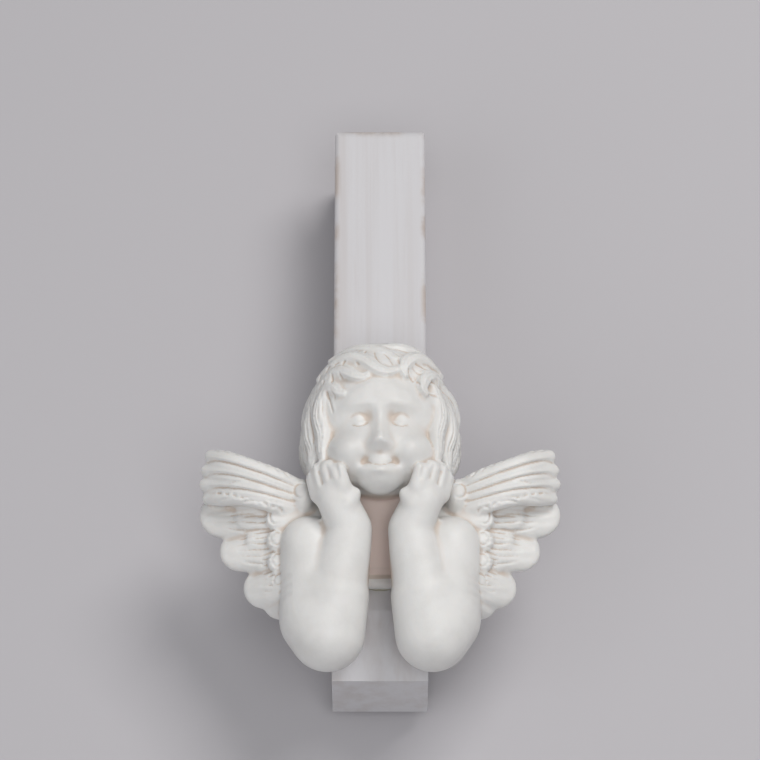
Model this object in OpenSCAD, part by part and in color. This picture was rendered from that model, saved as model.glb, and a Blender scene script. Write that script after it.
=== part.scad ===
// Clothespin doll: a two-lever wooden spring peg with a cherub cast in resin glued on its upper lever.
// +X runs across the peg, +Y towards the handle end, -Y towards the jaw tip and +Z out of the cherub's
// face. The lower lever lies on Z = 0, and Y = 0 is half-way along the whole doll. The jaws are closed.

/* [Peg] */
// Length of both levers
peg_length = 72; // [64:1:84]
// Width of both levers
peg_width = 11; // [9:0.5:14]
// Thickness of a lever from its jaw to its spring
lever_thickness = 7.5; // [6.5:0.25:9]
// Thickness of a lever at its handle end
handle_end_thickness = 4; // [3:0.25:5]
// Thickness of a lever at its jaw tip
tip_thickness = 4.6; // [3.5:0.1:6]
// Length of the bevel on the outer face at the jaw tip
tip_bevel_length = 7.5; // [5:0.5:10]
// Rounding of the handle end, seen from above
corner_round = 1.2; // [0.6:0.1:2.5]
// Rounding of the handle end, seen from the side
end_round = 1.3; // [0.6:0.1:2]
// Rounding of the long outer edges
edge_round = 0.6; // [0.3:0.1:1.2]

/* [Line notch] */
// Distance from the jaw tip to the middle of the notch for the line
notch_from_tip = 14.5; // [12:0.5:17]
// Radius of the notch for the line
notch_radius = 3.2; // [2.8:0.1:3.8]

/* [Spring] */
// Distance from the jaw tip to the coil's axis
coil_from_tip = 30; // [27:0.5:33]
// Outside diameter of the coil
coil_diameter = 7; // [6:0.1:8]
// Diameter of the spring wire
wire_diameter = 1.4; // [1:0.1:1.6]
// Whole turns between the two legs
coil_turns = 6; // [4:1:6]
// Distance from the jaw tip to the grooves that hold the spring's hooks
hook_from_tip = 22; // [20:0.5:24]
// Width of the hook grooves
hook_groove_width = 2.6; // [2:0.1:3.2]
// Depth of the hook grooves
hook_groove_depth = 1.9; // [1.6:0.1:2.3]
// Air between the wire and the wood
wire_clearance = 0.15; // [0.1:0.05:0.3]

/* [Glue] */
// Thickness of the glue between the lever and the casting
glue_thickness = 0.6; // [0.3:0.1:1]
// Width of the two beads of glue
glue_width = 8; // [6:0.5:8.5]
// Length of the bead under the arms
arm_glue_length = 10; // [9:0.5:11]
// Length of the bead under the head, which comes out a little past the hair
head_glue_length = 14; // [11:0.5:15.5]

/* [Cherub head] */
// Distance from the jaw tip to the chin
chin_from_tip = 16.6; // [15.5:0.1:17.5]
// Width of the head over the hair
head_width = 18.8; // [17:0.2:20]
// Length of the head from chin to crown
head_length = 21; // [19:0.5:23]
// How far the brow stands out from the flat back
head_height = 14.2; // [12.5:0.1:15.5]
// Thickness of the hair over the skull
hair_thickness = 0.8; // [0.4:0.1:1.4]
// How far the throat slopes back under the chin for each millimetre down
throat_slope = 0.38; // [0.2:0.02:0.5]
// How far the nose stands out of the face
nose_height = 1; // [0.6:0.1:1.5]
// Width of the mouth between its corners
mouth_width = 3.7; // [3:0.1:4.4]

/* [Cherub arms] */
// Distance from the centre line to the outside of an arm
arm_reach = 11.5; // [10.5:0.1:12.5]
// Air between the two forearms
forearm_gap = 2.4; // [1:0.1:3]
// How far the elbows hang over the jaw tip
elbow_overhang = 1.5; // [0.2:0.1:2.5]
// Radius of the elbow
elbow_radius = 4.5; // [4:0.1:5]
// Radius of the wrist
wrist_radius = 2.5; // [2:0.1:3]
// Radius of the shoulder
shoulder_radius = 3.5; // [2.8:0.1:3.8]
// Distance from the jaw tip to the top of the shoulder
shoulder_from_tip = 16.6; // [15:0.1:18]
// Thickness of the web between the forearms, under the chin
web_thickness = 1.6; // [1:0.1:2.5]
// Length of that web below the chin
web_length = 7.5; // [4:0.5:9]
// Thickness of the chest behind the hands
chest_thickness = 3.6; // [2.5:0.1:5]

/* [Cherub wings] */
// Span from wing tip to wing tip
wing_span = 42; // [38:0.5:46]
// Distance from the jaw tip to the wing tip
wing_tip_from_tip = 25.1; // [23:0.1:27]
// Height of the arched leading edge over the flat back
wing_arch_height = 8.6; // [7:0.1:10]
// Thickness of the long feathers at their ends
feather_thickness = 2.4; // [1.6:0.1:3.2]
// Distance from the jaw tip to the end of the longest feather
long_feather_from_tip = 19.2; // [18:0.1:20.5]
// Distance from the jaw tip to the end of the shortest feather
short_feather_from_tip = 6.9; // [6:0.1:9]
// How far the shortest feather reaches out from the arm
short_feather_reach = 1.6; // [0.8:0.1:3]
// Long feathers on a wing
feather_count = 4; // [3:1:5]
// Round scales beside the arm
scale_count = 3; // [2:1:4]

/* [Hidden] */

tip_y = (elbow_overhang - peg_length) / 2;
end_y = tip_y + peg_length;
coil_y = tip_y + coil_from_tip;
hook_y = tip_y + hook_from_tip;
jaw_z = lever_thickness;
peg_height = 2 * lever_thickness;
casting_back_z = peg_height + glue_thickness;
tip_bevel = lever_thickness - tip_thickness;
past = 1; // how far a cutter runs past the face that it cuts

white_wood = [0.80, 0.79, 0.80];
steel = [0.62, 0.63, 0.65];
resin = [0.91, 0.90, 0.87];
glue = [0.86, 0.80, 0.62];

// ---- shared functions ----

function unit(v) = v / norm(v);
function ease(t) = let (u = max(0, min(1, t))) u * u * (3 - 2 * u);
function along(from, to, share) = from + (to - from) * share;
function bell(x, y, w, h) = exp(-(x * x) / (2 * w * w) - (y * y) / (2 * h * h));
// A point on the curve drawn by four control points
function bezier(p, t) =
    pow(1 - t, 3) * p[0] + 3 * t * pow(1 - t, 2) * p[1] + 3 * t * t * (1 - t) * p[2] + pow(t, 3) * p[3];

// The directions along a route
function headings(route) = [
    for (i = [0:len(route) - 1])
        unit(route[min(i + 1, len(route) - 1)] - route[max(i - 1, 0)])
];
// One sideways direction for each heading, turned as little as possible from ring to ring
function sideways(way, first) = [
    for (i = 0, s = unit(first - (first * way[0]) * way[0]);
         i < len(way);
         i = i + 1, s = i < len(way) ? unit(s - (s * way[i]) * way[i]) : s) s
];

// A closed tube along a route, with its own radius at each point
module tube(route, radii, sides, first) {
    way = headings(route);
    across = sideways(way, first);
    count = len(route);
    rings = [
        for (i = [0:count - 1], k = [0:sides - 1])
            let (a = 360 * k / sides)
            route[i] + radii[i] * (cos(a) * across[i] + sin(a) * cross(way[i], across[i]))
    ];
    walls = [
        for (i = [0:count - 2], k = [0:sides - 1])
            let (a = i * sides + k, b = i * sides + (k + 1) % sides)
            each [[a, a + sides, b], [b, a + sides, b + sides]]
    ];
    caps = [
        for (k = [1:sides - 2])
            each [[0, k, k + 1], [(count - 1) * sides, (count - 1) * sides + k + 1, (count - 1) * sides + k]]
    ];
    polyhedron(rings, concat(walls, caps), convexity = 6);
}

// ---- wooden levers ----

// One lever, its outer face down on Z = 0 and its inner face up
module lever() {
    difference() {
        intersection() {
            lever_side_view();
            lever_top_view();
            lever_end_view();
        }
        // half of the seat round the coil
        translate([0, coil_y, jaw_z])
            across_peg(coil_diameter / 2 + wire_clearance);
        // half of the notch for the line
        translate([0, tip_y + notch_from_tip, jaw_z])
            across_peg(notch_radius);
        hook_groove();
        handle_end_rounding();
    }
}

module across_peg(radius) {
    rotate([0, 90, 0])
        cylinder(r = radius, h = peg_width + 2 * past, center = true, $fn = 64);
}

// The tapered outline: bevelled jaw tip, level jaw, handle thinning from the coil to its end
module lever_side_view() {
    rotate([90, 0, 90])
        linear_extrude(height = peg_width, center = true)
            polygon([
                [tip_y, tip_bevel],
                [tip_y + tip_bevel_length, 0],
                [end_y, 0],
                [end_y, handle_end_thickness],
                [coil_y, lever_thickness],
                [tip_y, lever_thickness]
            ]);
}

module lever_top_view() {
    side = peg_width / 2 - corner_round;
    linear_extrude(height = lever_thickness) {
        translate([-peg_width / 2, tip_y])
            square([peg_width, peg_length - corner_round]);
        translate([-side, tip_y])
            square([2 * side, peg_length]);
        for (x = [-side, side])
            translate([x, end_y - corner_round])
                circle(r = corner_round, $fn = 48);
    }
}

// The cross-section, with its two outer edges rounded
module lever_end_view() {
    side = peg_width / 2 - edge_round;
    translate([0, end_y, 0])
        rotate([90, 0, 0])
            linear_extrude(height = peg_length) {
                translate([-peg_width / 2, edge_round])
                    square([peg_width, lever_thickness - edge_round]);
                translate([-side, 0])
                    square([2 * side, edge_round + past]);
                for (x = [-side, side])
                    translate([x, edge_round])
                        circle(r = edge_round, $fn = 48);
            }
}

module hook_groove() {
    floor_z = hook_groove_depth - hook_groove_width / 2;
    translate([0, hook_y, floor_z])
        across_peg(hook_groove_width / 2);
    translate([-peg_width / 2 - past, hook_y - hook_groove_width / 2, -past])
        cube([peg_width + 2 * past, hook_groove_width, floor_z + past]);
}

// What the outer edge of the handle end loses to its rounding
module handle_end_rounding() {
    difference() {
        translate([-peg_width / 2 - past, end_y - end_round, -past])
            cube([peg_width + 2 * past, end_round + past, end_round + past]);
        translate([0, end_y - end_round, end_round])
            rotate([0, 90, 0])
                cylinder(r = end_round, h = peg_width + 4 * past, center = true, $fn = 48);
    }
}

module lower_lever() {
    color(white_wood)
        lever();
}

module upper_lever() {
    color(white_wood)
        translate([0, 0, peg_height])
            mirror([0, 0, 1])
                lever();
}

// ---- spring ----

wire_radius = wire_diameter / 2;
coil_radius = coil_diameter / 2 - wire_radius;
leg_x = peg_width / 2 + wire_clearance + wire_radius;
hook_depth = wire_radius + 0.2; // from the outer face of a lever to the middle of the wire
hook_rise = peg_height - hook_depth - jaw_z;
hook_reach = coil_y - hook_y;
hook_end_x = peg_width / 2 - wire_radius - 0.4;
bend_radius = 1.1;
rings_per_turn = 8;
rings_per_bend = 4;
wire_sides = 6;
// Where a leg leaves the coil, so that it runs straight to its hook
leave_angle = atan2(hook_rise, -hook_reach)
    - acos(coil_radius / norm([hook_rise, hook_reach]));
coil_sweep = 2 * leave_angle + 360 * coil_turns;
coil_steps = ceil(coil_sweep / 360 * rings_per_turn);

// A point beside the coil's axis, given across the peg, along it and up
function at_coil(p) = [p.x, coil_y + p.y, jaw_z + p.z];
function coil_point(i) =
    let (a = leave_angle - coil_sweep * i / coil_steps)
    at_coil([leg_x - 2 * leg_x * i / coil_steps, coil_radius * cos(a), coil_radius * sin(a)]);

// The upper hook, from its free end across the groove, round the bend and down the side of the peg
hook_corner = at_coil([leg_x, -hook_reach, hook_rise]);
leg_way = unit(coil_point(0) - hook_corner);
upper_hook = concat(
    [[-hook_end_x, hook_corner.y, hook_corner.z], [0, hook_corner.y, hook_corner.z]],
    [
        for (i = [0:rings_per_bend])
            let (a = 90 * i / rings_per_bend)
            hook_corner + bend_radius * ((sin(a) - 1) * [1, 0, 0] + (1 - cos(a)) * leg_way)
    ],
    [(hook_corner + coil_point(0)) / 2]
);
// The lower hook is the upper one turned half round the peg's own middle line
function turned(p) = [-p.x, p.y, 2 * jaw_z - p.z];
lower_hook = [for (i = [len(upper_hook) - 1:-1:0]) turned(upper_hook[i])];
spring_route = concat(upper_hook, [for (i = [0:coil_steps]) coil_point(i)], lower_hook);

// Least air between one turn and the next, over all pairs of points at least half a turn apart
coil_points = [for (i = [0:coil_steps]) coil_point(i)];
coil_gap = min([
    for (i = [0:coil_steps], j = [i + rings_per_turn / 2:1:coil_steps])
        norm(coil_points[i] - coil_points[j])
]) - wire_diameter;
echo(spring_least_gap = coil_gap);

module spring() {
    color(steel)
        tube(spring_route, [for (p = spring_route) wire_radius], wire_sides, [0, 1, 0]);
}

// ---- glue ----

// A flat bead with round ends, squeezed between the lever and the casting
module glue_bead(from_tip, length) {
    radius = glue_width / 2;
    translate([0, tip_y + from_tip, peg_height]) {
        for (y = [radius, length - radius])
            translate([0, y, 0])
                cylinder(r = radius, h = glue_thickness, $fn = 64);
        translate([-radius, radius, 0])
            cube([glue_width, length - glue_width, glue_thickness]);
    }
}

glue_to_groove = 0.8; // bare wood left between a bead and the groove of the hook

module arm_glue() {
    color(glue)
        glue_bead(hook_from_tip - hook_groove_width / 2 - glue_to_groove - arm_glue_length, arm_glue_length);
}

module head_glue() {
    color(glue)
        glue_bead(hook_from_tip + hook_groove_width / 2 + glue_to_groove, head_glue_length);
}

// ---- cherub: the head ----
// From here on a place is given across the peg, from the jaw tip and up from the casting's flat back.

head_middle = [0, chin_from_tip + head_length / 2, head_height * 0.39];
skull = [
    head_width / 2 - hair_thickness,
    head_length / 2 - hair_thickness / 2,
    head_height - head_middle.z
];
chin_z = head_height * 0.78;
face_middle_y = chin_from_tip + 6.3;
face_half_width = 6.2;
face_half_height = 6.9;
mouth_y = chin_from_tip + 3.4;
nose_y = chin_from_tip + 4.8;
eye_y = nose_y + 3.2;
eye_x = 2.4;
head_columns = 40;
head_rows = 34;
face_rows = 26;
face_top_latitude = 8;
hair_waves = 11;
hair_swirl = 1.6;
hair_wave_depth = 0.32;

// What the face adds to the skull: across, from the jaw tip, half width, half height, how far it stands out
face_forms = [
    [0, mouth_y + 0.6, 3.1, 2.6, 1.1],
    [0, chin_from_tip + 1.3, 1.4, 0.8, 0.6],
    [0, nose_y, 0.85, 0.8, nose_height * 1.1],
    [0, nose_y + 2.2, 0.65, 1.5, nose_height * 0.45],
    [0, mouth_y + 0.75, 1.1, 0.4, 0.5],
    [0, mouth_y, 1.5, 0.3, -0.75],
    [0, mouth_y - 0.75, 0.9, 0.4, 0.45]
];
// The same on both sides
paired_face_forms = [
    [mouth_width / 2, mouth_y, 0.55, 0.55, -1.5],
    [3.8, nose_y - 0.3, 1.5, 1.5, 0.9],
    [1.05, nose_y - 0.35, 0.5, 0.45, 0.4],
    [eye_x, eye_y, 1.3, 0.95, -1.1],
    [eye_x, eye_y - 0.3, 0.9, 0.5, 0.8],
    [eye_x, eye_y + 1.7, 1.5, 0.6, 0.45]
];
function relief(forms, x, y) = [for (f = forms) 1] * [
    for (f = forms) f[4] * bell(x - f[0], y - f[1], f[2], f[3])
];
function face_relief(x, y) = relief(face_forms, x, y) + relief(paired_face_forms, abs(x), y);

// Locks run out of the crown and swirl a little as they go
crown_way = unit([0, 0.75, 0.5]);
function lock_wave(way) =
    let (
        up = cross(crown_way, [1, 0, 0]),
        turn = atan2(way.x, way * up),
        fall = acos(max(-1, min(1, way * crown_way)))
    ) 2 * abs(sin(hair_waves * turn / 2 + hair_swirl * fall)) - 1;

function head_point(east, north) =
    let (
        way = [cos(north) * sin(east), sin(north), cos(north) * cos(east)],
        round_skull = head_middle + [skull.x * way.x, skull.y * way.y, skull.z * way.z],
        under_chin = pow(min(0, way.y), 2),
        bare = round_skull + [0, throat_slope * under_chin * max(0, chin_z - round_skull.z), 0],
        oval = norm([bare.x / face_half_width, (bare.y - face_middle_y) / face_half_height]),
        facing = ease(way.z * 3),
        face = facing * (1 - ease((oval - 0.92) / 0.2)),
        hair = (1 - face) * (1 - under_chin) * (hair_thickness + hair_wave_depth * lock_wave(way))
    ) bare + hair * way + [0, 0, facing * face_relief(bare.x, bare.y)];

// The columns and rows crowd together on the face
function longitude(k) =
    let (u = 2 * k / head_columns - 1) 180 * (0.45 * u + 0.55 * pow(u, 3));
function latitude(j) =
    j < face_rows
        ? -90 + (90 + face_top_latitude) * j / face_rows
        : face_top_latitude + (90 - face_top_latitude) * (j - face_rows) / (head_rows - face_rows);

module head() {
    points = concat(
        [head_point(0, -90)],
        [
            for (j = [1:head_rows - 1], k = [0:head_columns - 1])
                head_point(longitude(k), latitude(j))
        ],
        [head_point(0, 90)]
    );
    last = len(points) - 1;
    function at(j, k) = 1 + (j - 1) * head_columns + k % head_columns;
    faces = [
        for (k = [0:head_columns - 1])
            each [
                [0, at(1, k), at(1, k + 1)],
                [last, at(head_rows - 1, k + 1), at(head_rows - 1, k)],
                for (j = [1:head_rows - 2])
                    each [
                        [at(j, k), at(j + 1, k), at(j, k + 1)],
                        [at(j, k + 1), at(j + 1, k), at(j + 1, k + 1)]
                    ]
            ]
    ];
    polyhedron(points, faces, convexity = 8);
}

// One curl of hair: a tube that swells and tapers along a curve
lock_rings = 8;
lock_sides = 6;
module lock(curve, radius) {
    route = [for (i = [0:lock_rings - 1]) bezier(curve, i / (lock_rings - 1))];
    radii = [for (i = [0:lock_rings - 1]) radius * (0.35 + 0.65 * sin(30 + 140 * i / (lock_rings - 1)))];
    tube(route, radii, lock_sides, [0, 0, 1]);
}

// A place on the head, given as shares of its half width and half length and as a height
function on_head(p) = [
    p.x * head_width / 2,
    head_middle.y + p.y * head_length / 2,
    p.z * head_height
];
// Each lock: four control points and a radius. These hang on both sides of the face.
side_locks = [
    [[0.45, 0.72, 0.86], [0.78, 0.45, 0.86], [0.82, 0.00, 0.80], [0.68, -0.38, 0.74], 1.15],
    [[0.62, 0.62, 0.70], [0.98, 0.30, 0.68], [1.04, -0.18, 0.58], [0.80, -0.58, 0.58], 1.35],
    [[0.70, 0.66, 0.45], [1.08, 0.30, 0.42], [1.08, -0.14, 0.36], [0.90, -0.50, 0.38], 1.30],
    [[0.20, 0.96, 0.62], [0.62, 0.86, 0.66], [0.84, 0.56, 0.58], [0.96, 0.30, 0.50], 1.25]
];
// These lie over the brow, swept to one side
brow_locks = [
    [[0.30, 0.92, 0.74], [0.10, 0.70, 1.06], [-0.20, 0.48, 1.08], [-0.30, 0.26, 1.00], 1.15],
    [[0.05, 0.96, 0.72], [-0.30, 0.74, 0.98], [-0.52, 0.46, 0.98], [-0.56, 0.20, 0.90], 1.10],
    [[0.38, 0.88, 0.72], [0.36, 0.70, 1.00], [0.30, 0.46, 1.05], [0.16, 0.30, 1.03], 1.00],
    [[0.48, 0.80, 0.70], [0.58, 0.60, 0.92], [0.56, 0.34, 0.94], [0.44, 0.22, 0.94], 1.05]
];
module hair_locks() {
    for (l = side_locks, side = [-1, 1])
        lock([for (i = [0:3]) let (p = on_head(l[i])) [side * p.x, p.y, p.z]], l[4]);
    for (l = brow_locks)
        lock([for (i = [0:3]) on_head(l[i])], l[4]);
}

// ---- cherub: arms and hands ----

limb_facets = 20;
finger_facets = 10;
ball_reach = cos(180 / limb_facets); // how far a faceted ball really comes, as a share of its radius
elbow = [forearm_gap / 2 + elbow_radius, elbow_radius * ball_reach - elbow_overhang, elbow_radius * 0.8];
outer_elbow_radius = elbow_radius * 0.95;
outer_elbow = [arm_reach - outer_elbow_radius, elbow.y + 1.7, elbow_radius * 0.72];
arm_merge = 0.3; // share of the arm's length over which its two halves are one
bridge_radius = 0.94; // share of their radii that the bridge between them has
wrist = [forearm_gap / 2 + wrist_radius, chin_from_tip - 2.6, 8];
shoulder = [arm_reach - shoulder_radius, shoulder_from_tip - shoulder_radius, 4.8];
palm = [4.9, chin_from_tip + 0.6, 9.2];
palm_radius = 2.3;
finger_count = 4;
finger_radius = 0.95;
finger_length = 2.8;
finger_way = unit([0.24, 1, 0.05]);
finger_step = [1.02, -0.2, -0.75]; // from one finger to the next, round the cheek

module ball(place, radius, facets) {
    translate(place)
        sphere(r = radius, $fn = facets);
}

module limb(from, from_radius, to, to_radius) {
    hull() {
        ball(from, from_radius, limb_facets);
        ball(to, to_radius, limb_facets);
    }
}

module arm() {
    limb(elbow, elbow_radius, wrist, wrist_radius);
    limb(outer_elbow, outer_elbow_radius, shoulder, shoulder_radius);
    // A bridge fills the fold between the two halves of the arm towards the elbow
    hull() {
        ball(elbow, elbow_radius * bridge_radius, limb_facets);
        ball(outer_elbow, outer_elbow_radius * bridge_radius, limb_facets);
        ball(
            along(elbow, wrist, arm_merge),
            along(elbow_radius, wrist_radius, arm_merge) * bridge_radius,
            limb_facets
        );
        ball(
            along(outer_elbow, shoulder, arm_merge),
            along(outer_elbow_radius, shoulder_radius, arm_merge) * bridge_radius,
            limb_facets
        );
    }
    limb(wrist, wrist_radius, palm, palm_radius);
    // The fingers lie side by side up the cheek
    for (i = [0:finger_count - 1])
        let (
            spread = i - (finger_count - 1) / 2,
            root = palm + [0.2, 0.6, 1.1] + spread * finger_step,
            reach = finger_length - 0.3 * spread * spread
        )
        hull() {
            ball(root, finger_radius, finger_facets);
            ball(root + reach * finger_way, finger_radius * 0.8, finger_facets);
        }
}

// The chest lies deep behind the hands, and a thin web runs down from it between the forearms
module chest() {
    half = arm_reach - shoulder_radius + 1;
    translate([-half, chin_from_tip + 0.4, -past])
        cube([2 * half, wing_root.y - chin_from_tip + 1.6, chest_thickness + past]);
    translate([-half, chin_from_tip - web_length, -past])
        cube([2 * half, web_length + past, web_thickness + past]);
}

// ---- cherub: wings ----

wing_root = [8.6, chin_from_tip + 3, 5.2];
wing_tip = [wing_span / 2 - 1, wing_tip_from_tip - 1.2, 5.6];
// The leading edge bows towards the jaw tip and arches up on its way out
leading_edge = [
    wing_root,
    [wing_root.x + 4, wing_root.y - 0.2, wing_arch_height - 0.4],
    [wing_tip.x - 5, wing_tip.y - 3.2, wing_arch_height + 0.6],
    wing_tip
];
roll_count = 3;
roll_radius = 1.25;
roll_rings = 10;
feather_facets = 12;
feather_flatness = 0.5;
feather_radius = 2.5;
feather_root_x = arm_reach - 2;
feather_root_z = wing_arch_height * 0.55;
feather_slope = 0.13; // how far a feather rises towards the wing tip for each millimetre outwards
scale_radius = 1.5;
scroll_radius = 1.9;
scroll_shape = [0.7, 1.1, 1];

// A flat tongue with round ends, straight down past the casting's flat back
module tongue(root, end, radius) {
    hull() {
        for (p = [root, end]) {
            translate(p)
                scale([1, 1, feather_flatness])
                    sphere(r = radius, $fn = feather_facets);
            translate([p.x, p.y, -past])
                cylinder(r = radius * 0.8, h = feather_thickness / 2 + past, $fn = feather_facets);
        }
    }
}

// Long feathers lie one under the other, square to the arm, and each ends in a round scallop
module long_feathers() {
    outermost = wing_span / 2 - feather_radius;
    innermost = arm_reach + short_feather_reach - feather_radius;
    for (i = [0:feather_count - 1])
        let (
            share = i / (feather_count - 1),
            reach = innermost + (outermost - innermost) * share,
            rise = short_feather_from_tip
                + (long_feather_from_tip - short_feather_from_tip) * pow(share, 1.2)
        )
        tongue(
            [feather_root_x, rise - feather_slope * (reach - feather_root_x), feather_root_z],
            [reach, rise, feather_thickness * (0.6 + 0.3 * share)],
            feather_radius
        );
}

// Round scales cover the feathers' roots beside the arm
module root_scales() {
    first = short_feather_from_tip + 2.6;
    last = long_feather_from_tip - 1.6;
    for (i = [0:scale_count - 1])
        let (rise = first + (last - first) * i / (scale_count - 1))
        tongue(
            [feather_root_x, rise, feather_root_z + 0.6],
            [arm_reach + scale_radius * 0.6, rise, feather_root_z + 0.1],
            scale_radius
        );
}

// The leading edge: rolls side by side, lower and thinner towards the feathers
module leading_rolls() {
    for (i = [0:roll_count - 1])
        let (
            route = [
                for (k = [0:roll_rings - 1])
                    bezier(leading_edge, k / (roll_rings - 1)) - [0.12, 1.35, 0.75] * i
            ],
            radii = [for (k = [0:roll_rings - 1]) (roll_radius - 0.2 * i) * (1 - 0.35 * pow(k / roll_rings, 4))]
        )
        tube(route, radii, lock_sides, [0, 0, 1]);
    // what carries it from the flat back
    hull()
        for (t = [0, 0.35, 0.7, 1])
            let (p = bezier(leading_edge, t))
            translate([p.x, p.y - roll_radius, -past])
                cylinder(r = roll_radius * 0.8, h = p.z + past, $fn = feather_facets);
}

module wing() {
    long_feathers();
    root_scales();
    leading_rolls();
    translate(wing_root - [0, 0.5, 0])
        scale(scroll_shape)
            sphere(r = scroll_radius, $fn = feather_facets);
}

module cherub_casting() {
    color(resin)
        translate([0, tip_y, casting_back_z])
            intersection() {
                union() {
                    head();
                    hair_locks();
                    chest();
                    for (side = [0, 1])
                        mirror([side, 0, 0]) {
                            arm();
                            wing();
                        }
                }
                // the flat back
                translate([-wing_span, -peg_length / 2, 0])
                    cube([2 * wing_span, 2 * peg_length, 2 * head_height]);
            }
}

upper_lever();
lower_lever();
spring();
cherub_casting();
head_glue();
arm_glue();
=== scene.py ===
import math

import bpy
import numpy as np
from mathutils import Matrix, Vector
from mathutils.bvhtree import BVHTree


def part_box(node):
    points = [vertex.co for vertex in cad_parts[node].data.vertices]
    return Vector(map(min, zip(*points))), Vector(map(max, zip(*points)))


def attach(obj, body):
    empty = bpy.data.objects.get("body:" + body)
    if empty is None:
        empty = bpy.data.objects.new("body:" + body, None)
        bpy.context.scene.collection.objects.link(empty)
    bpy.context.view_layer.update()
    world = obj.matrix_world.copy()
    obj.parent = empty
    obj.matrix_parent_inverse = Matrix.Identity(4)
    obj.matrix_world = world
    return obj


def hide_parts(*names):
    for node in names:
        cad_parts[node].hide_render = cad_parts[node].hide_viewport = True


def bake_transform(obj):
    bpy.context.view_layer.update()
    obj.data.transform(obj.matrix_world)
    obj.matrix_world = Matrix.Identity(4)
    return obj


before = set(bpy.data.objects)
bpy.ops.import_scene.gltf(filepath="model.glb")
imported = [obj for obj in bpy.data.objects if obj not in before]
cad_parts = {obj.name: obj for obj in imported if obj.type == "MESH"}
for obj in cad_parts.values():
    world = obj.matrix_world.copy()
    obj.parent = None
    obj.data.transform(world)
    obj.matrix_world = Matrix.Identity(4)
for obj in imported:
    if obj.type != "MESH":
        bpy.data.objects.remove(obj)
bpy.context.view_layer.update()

MM = 0.001


# ---- Floor, light and camera ----
# The doll lies on a plain pale floor under soft studio light, and the camera looks down on its face from
# the jaw end, 62.5 degrees up, as the photograph's does.

view_elevation = math.radians(62.5)
view_distance = 0.42
view_width = 0.0905
view_centre = Vector((0, 0.0035, 0.012))
floor_size = 1.6
floor_colour = (0.50, 0.485, 0.505, 1)
world_colour, world_strength = (0.90, 0.91, 0.93, 1), 0.30


def new_material(name):
    """An empty node material and its shader."""
    material = bpy.data.materials.new(name)
    material.use_nodes = True
    shader = material.node_tree.nodes["Principled BSDF"]
    return material, shader


def node(material, kind, **values):
    """A shader node, with its settings and the values of its sockets."""
    made = material.node_tree.nodes.new(kind)
    for key, value in values.items():
        socket = made.inputs.get(key.replace("_", " ").title())
        if hasattr(made, key):
            setattr(made, key, value)
        elif socket is not None:
            socket.default_value = value
        else:
            raise KeyError(f"{kind} has no {key}")
    return made


def join(material, out_node, out_name, in_node, in_name):
    """A link from one node's socket to another's."""
    material.node_tree.links.new(out_node.outputs[out_name], in_node.inputs[in_name])


def add_floor():
    """A plain floor, far wider than the picture."""
    bpy.ops.mesh.primitive_plane_add(size=floor_size)
    floor = bpy.context.object
    floor.name = "floor"
    material, shader = new_material("pale_floor")
    shader.inputs["Base Color"].default_value = floor_colour
    shader.inputs["Roughness"].default_value = 0.8
    floor.data.materials.append(material)


def add_lamp(name, place, size, power, colour=(1, 1, 1)):
    """A square soft lamp that faces the doll."""
    bpy.ops.object.light_add(type="AREA", location=place)
    lamp = bpy.context.object
    lamp.name = name
    lamp.data.size = size
    lamp.data.energy = power
    lamp.data.color = colour
    lamp.rotation_euler = (view_centre - Vector(place)).to_track_quat("-Z", "Y").to_euler()


def add_camera():
    """The camera at the jaw end, with the whole doll in its picture."""
    reach = Vector((0, -math.cos(view_elevation), math.sin(view_elevation))) * view_distance
    bpy.ops.object.camera_add(location=view_centre + reach)
    camera = bpy.context.object
    camera.rotation_euler = (-reach).to_track_quat("-Z", "Y").to_euler()
    camera.data.angle = 2 * math.atan(view_width / 2 / view_distance)
    camera.data.clip_start = 0.01
    bpy.context.scene.camera = camera


bpy.ops.object.select_all(action="DESELECT")
add_floor()
add_lamp("key_lamp", (0.17, 0.16, 0.42), 0.22, 1.08, (1.0, 0.985, 0.97))
add_lamp("fill_lamp", (-0.34, -0.28, 0.34), 0.40, 0.49, (0.97, 0.98, 1.0))
add_lamp("front_lamp", (0.05, -0.24, 0.48), 0.26, 0.75)
add_camera()
world = bpy.data.worlds.new("studio")
bpy.context.scene.world = world
world.use_nodes = True
world.node_tree.nodes["Background"].inputs["Color"].default_value = world_colour
world.node_tree.nodes["Background"].inputs["Strength"].default_value = world_strength
bpy.context.scene.view_settings.view_transform = "Standard"


# ---- The two wooden levers ----
# Sawn strips of pale wood. Their outer faces and sides were brushed with thin white paint before they were
# put together, so the inner faces are bare, and the grain and the rubbed edges show through.

peg_low, peg_high = (Vector(corner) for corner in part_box("lower_lever"))
lever_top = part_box("upper_lever")[1].z
half_width = peg_high.x
white_paint = (0.615, 0.605, 0.622, 1)
thin_paint = (0.520, 0.485, 0.478, 1)
bare_wood = (0.470, 0.365, 0.290, 1)
dark_grain = (0.300, 0.215, 0.160, 1)


def mix(material, factor, first, second):
    """A colour mix between two sockets or colours, by a factor socket."""
    mixer = node(material, "ShaderNodeMix", data_type="RGBA")
    links = material.node_tree.links
    links.new(factor, mixer.inputs["Factor"])
    for socket, value in ((mixer.inputs["A"], first), (mixer.inputs["B"], second)):
        if isinstance(value, tuple):
            socket.default_value = value
        else:
            links.new(value, socket)
    return mixer.outputs["Result"]


def calculate(material, operation, *values):
    """A sum on sockets or numbers."""
    maths = node(material, "ShaderNodeMath", operation=operation)
    for socket, value in zip(maths.inputs, values):
        if isinstance(value, (int, float)):
            socket.default_value = value
        else:
            material.node_tree.links.new(value, socket)
    return maths.outputs["Value"]


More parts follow.
